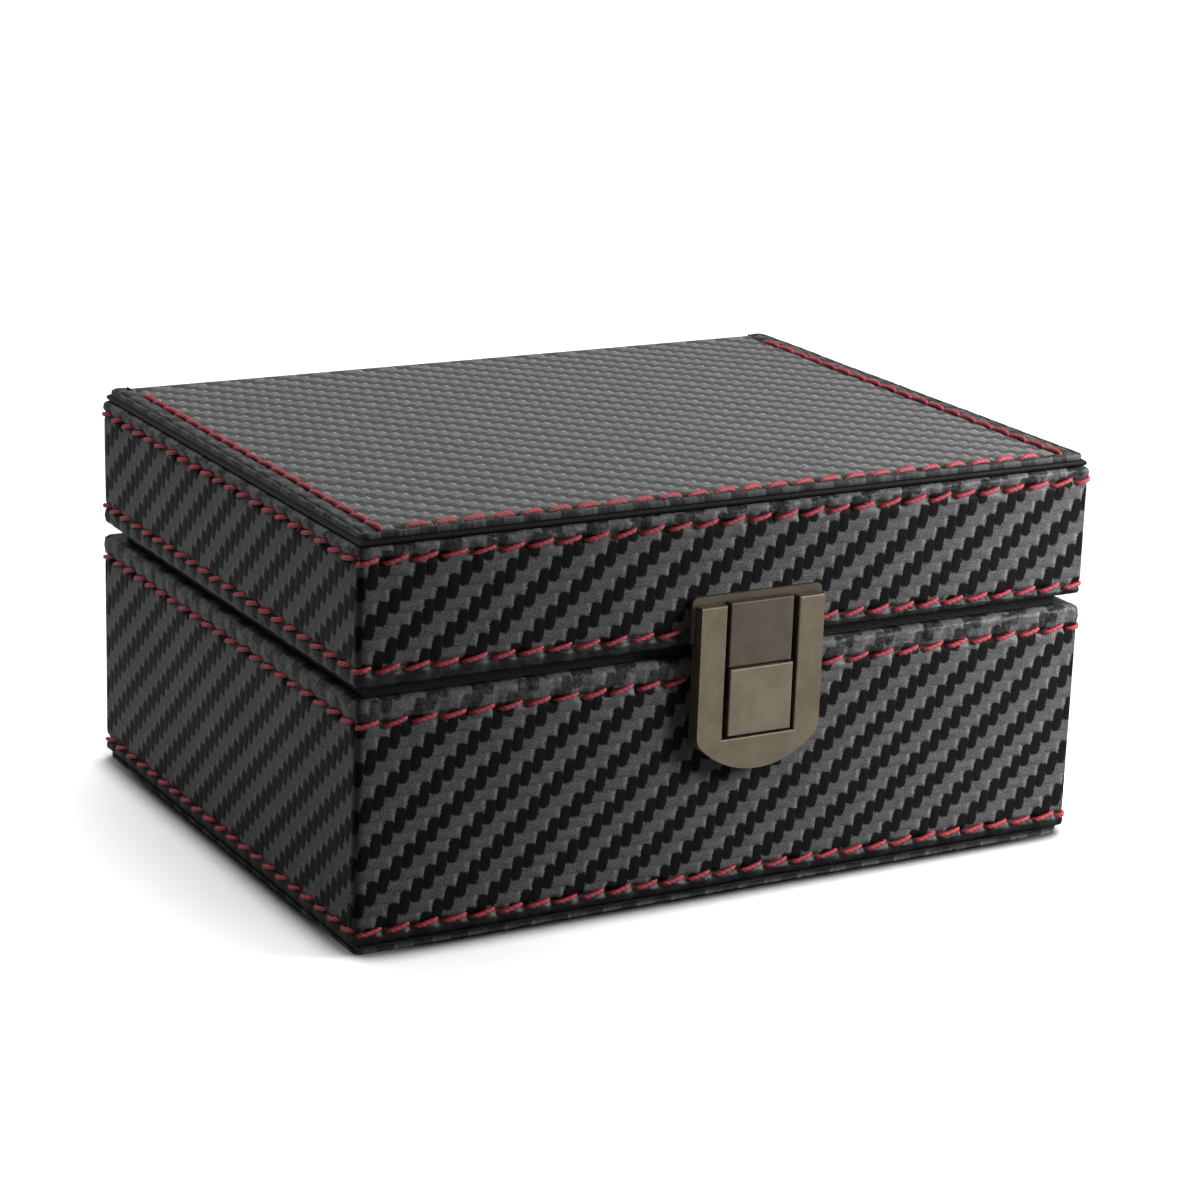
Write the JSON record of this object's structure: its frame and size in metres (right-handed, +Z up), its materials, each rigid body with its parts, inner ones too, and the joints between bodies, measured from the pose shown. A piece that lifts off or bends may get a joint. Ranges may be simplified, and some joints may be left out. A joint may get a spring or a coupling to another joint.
{
  "type": "faraday key box",
  "caption": "Leather-covered signal-blocking key box with a hinged lid, inner collar, padded cloth lining and a push-button box lock on the front.",
  "frame": {"origin": "centre of the underside, on the surface that the box stands on", "axes": "+X to the right along the front, -Y out of the front, +Z up"},
  "size_m": [0.15, 0.1216, 0.075],
  "materials": {
    "weave_leather": "black synthetic leather embossed with a grey and black twill weave",
    "piping": "satin black leather piping",
    "greyboard": "dense grey board",
    "black_board": "black paper-faced board",
    "foam": "thin black foam",
    "shield_cloth": "fine grey conductive cloth",
    "lining_cloth": "black short-pile lining cloth",
    "antique_bronze": "antique bronze plating, satin",
    "steel": "plain spring steel"
  },
  "bodies": {
    "base": {"base_floor_board": "greyboard", "base_front_board": "greyboard", "base_rear_board": "greyboard", "base_left_board": "greyboard", "base_right_board": "greyboard", "base_side_cover": "weave_leather", "base_bottom_cover": "weave_leather", "base_shield": "shield_cloth", "base_neck_front": "black_board", "base_neck_left": "black_board", "base_neck_right": "black_board", "base_neck_rear": "black_board", "base_lining": "lining_cloth", "base_floor_pad": "lining_cloth", "latch_body": "antique_bronze", "latch_back_plate": "antique_bronze", "latch_rivets": "antique_bronze", "latch_spring": "steel", "hinge_base_leaves": "antique_bronze", "hinge_pins": "steel", "hinge_base_screws": "antique_bronze"},
    "lid": {"lid_top_board": "greyboard", "lid_front_board": "greyboard", "lid_rear_board": "greyboard", "lid_left_board": "greyboard", "lid_right_board": "greyboard", "lid_side_cover": "weave_leather", "lid_top_cover": "weave_leather", "lid_edge_welt": "piping", "lid_top_foam": "foam", "lid_shield": "shield_cloth", "lid_lining": "lining_cloth", "lid_pad": "lining_cloth", "latch_keeper": "antique_bronze", "keeper_rivets": "antique_bronze", "hinge_lid_leaves": "antique_bronze", "hinge_lid_screws": "antique_bronze"},
    "button": {"latch_button": "antique_bronze"}
  },
  "joints": [
    {"name": "lid_hinge", "type": "hinge", "parent": "base", "child": "lid", "pos_m": [0, 0.0587, 0.04695], "axis": [-1, 0, 0], "range_deg": [0, 95]},
    {"name": "button_press", "type": "slide", "parent": "base", "child": "button", "axis": [0, 1, 0], "range_m": [0, 0.001], "stiffness_N_per_m": 300, "springref_m": -0.002, "deforming": ["latch_spring"]}
  ]
}
